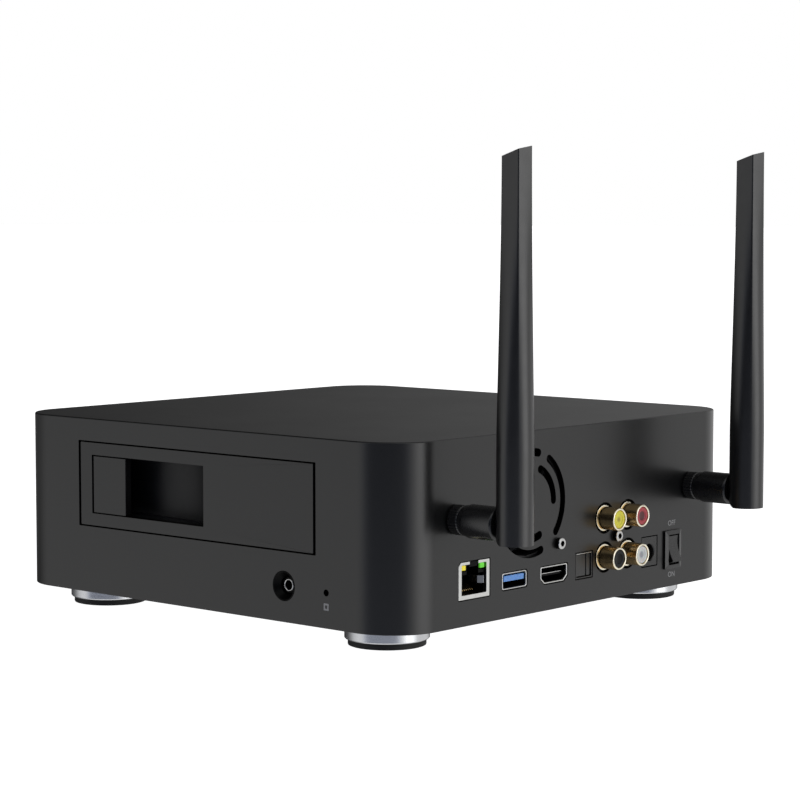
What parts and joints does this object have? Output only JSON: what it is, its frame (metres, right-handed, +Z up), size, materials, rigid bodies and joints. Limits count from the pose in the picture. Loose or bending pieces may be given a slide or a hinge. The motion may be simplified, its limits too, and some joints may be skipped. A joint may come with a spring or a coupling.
{
  "type": "media player with hard drive tray",
  "caption": "Desktop media player in a square aluminium case, with a pull-out hard drive tray in one side, a rear socket panel with a fan, and rod antennas on swivels.",
  "frame": {"origin": "on the ground, under the middle of the whole object, antennas included", "axes": "+X out of the side with the drive tray, +Y out of the socket panel, +Z up"},
  "size_m": [0.195, 0.2272, 0.1701],
  "materials": {
    "case": "anodised, fine satin",
    "tray_face": "anodised, fine satin",
    "lever_face": "anodised, fine satin",
    "sheet_steel": "zinc coated",
    "black_moulding": "fine matt",
    "gloss_moulding": "satin to gloss",
    "antenna_skin": "fine matt",
    "rubber": "matt",
    "foot_ring": "polished",
    "nickel": "nickel plated",
    "gold_plate": "gold plated",
    "circuit_board": "solder mask on glass fibre",
    "heatsink": "black anodised",
    "smoked_window": "smoked, polished",
    "yellow_plastic": "moulded",
    "red_plastic": "moulded",
    "white_plastic": "moulded",
    "blue_plastic": "moulded",
    "green_light": "clear light pipe",
    "amber_light": "clear light pipe"
  },
  "bodies": {
    "player": {"chassis_shell": "case", "bottom_cover": "sheet_steel", "main_board": "circuit_board", "heatsink": "heatsink", "drive_bay": "sheet_steel", "sata_board": "circuit_board", "sata_connector": "black_moulding", "display_window": "smoked_window", "lan_shell": "nickel", "lan_insert": "black_moulding", "lan_led_green": "green_light", "lan_led_yellow": "amber_light", "usb_shell": "nickel", "usb_tongue": "blue_plastic", "hdmi_shell": "nickel", "hdmi_tongue": "black_moulding", "optical_housing": "black_moulding", "rca_block": "black_moulding", "dc_jack": "black_moulding", "dc_pin": "nickel", "switch_bezel": "gloss_moulding", "panel_screw_fan": "nickel", "panel_screw_sockets": "nickel", "serial_jack": "black_moulding", "reset_switch": "black_moulding", "fan_frame": "black_moulding", "rca_barrel_video": "gold_plate", "rca_insert_video": "yellow_plastic", "rca_barrel_right": "gold_plate", "rca_insert_right": "red_plastic", "rca_barrel_left": "gold_plate", "rca_insert_left": "white_plastic", "rca_barrel_coaxial": "gold_plate", "rca_insert_coaxial": "gloss_moulding", "foot_ring_front_left": "foot_ring", "foot_pad_front_left": "rubber", "foot_ring_front_right": "foot_ring", "foot_pad_front_right": "rubber", "foot_ring_rear_left": "foot_ring", "foot_pad_rear_left": "rubber", "foot_ring_rear_right": "foot_ring", "foot_pad_rear_right": "rubber", "antenna_socket_left": "gold_plate", "antenna_nut_left": "gloss_moulding", "antenna_socket_right": "gold_plate", "antenna_nut_right": "gloss_moulding"},
    "optical_shutter": {"optical_shutter": "black_moulding"},
    "rocker": {"switch_rocker": "gloss_moulding"},
    "reset_button": {"reset_button": "black_moulding"},
    "fan_rotor": {"fan_rotor": "black_moulding"},
    "tray": {"tray_front": "tray_face", "tray_carrier": "black_moulding", "lever_pin": "nickel"},
    "tray_lever": {"tray_lever": "lever_face"},
    "antenna_right_base": {"antenna_sleeve_right": "gloss_moulding", "antenna_pin_right": "nickel"},
    "antenna_right_blade": {"antenna_blade_right": "antenna_skin"},
    "antenna_left_base": {"antenna_sleeve_left": "gloss_moulding", "antenna_pin_left": "nickel"},
    "antenna_left_blade": {"antenna_blade_left": "antenna_skin"}
  },
  "joints": [
    {"name": "tray_slide", "type": "slide", "parent": "player", "child": "tray", "axis": [1, 0, 0], "range_m": [0, 0.14]},
    {"name": "lever_hinge", "type": "hinge", "parent": "tray", "child": "tray_lever", "pos_m": [0.0956, -0.06538, 0.04805], "axis": [0, 0, -1], "range_deg": [0, 75]},
    {"name": "rocker_tilt", "type": "hinge", "parent": "player", "child": "rocker", "pos_m": [-0.0573, 0.08082, 0.02165], "axis": [-1, 0, 0], "range_deg": [0, 24]},
    {"name": "shutter_hinge", "type": "hinge", "parent": "player", "child": "optical_shutter", "pos_m": [-0.00335, 0.07917, 0.0241], "axis": [-1, 0, 0], "range_deg": [0, 75], "stiffness_Nm_per_rad": 0.001},
    {"name": "reset_press", "type": "slide", "parent": "player", "child": "reset_button", "axis": [-1, 0, 0], "range_m": [0, 0.0004], "stiffness_N_per_m": 800},
    {"name": "fan_spin", "type": "hinge", "parent": "player", "child": "fan_rotor", "pos_m": [0.0273, 0.07412, 0.0467], "axis": [0, 1, 0], "continuous": true},
    {"name": "antenna_right_swivel", "type": "hinge", "parent": "player", "child": "antenna_right_base", "pos_m": [0.0683, 0.08142, 0.0449], "axis": [0, 1, 0], "range_deg": [-28, 90]},
    {"name": "antenna_right_tilt", "type": "hinge", "parent": "antenna_right_base", "child": "antenna_right_blade", "pos_m": [0.0683, 0.10723, 0.0441], "axis": [-1, 0, 0], "range_deg": [0, 90]},
    {"name": "antenna_left_swivel", "type": "hinge", "parent": "player", "child": "antenna_left_base", "pos_m": [-0.0683, 0.08142, 0.0449], "axis": [0, -1, 0], "range_deg": [-28, 90]},
    {"name": "antenna_left_tilt", "type": "hinge", "parent": "antenna_left_base", "child": "antenna_left_blade", "pos_m": [-0.0683, 0.10723, 0.0441], "axis": [-1, 0, 0], "range_deg": [0, 90]}
  ]
}
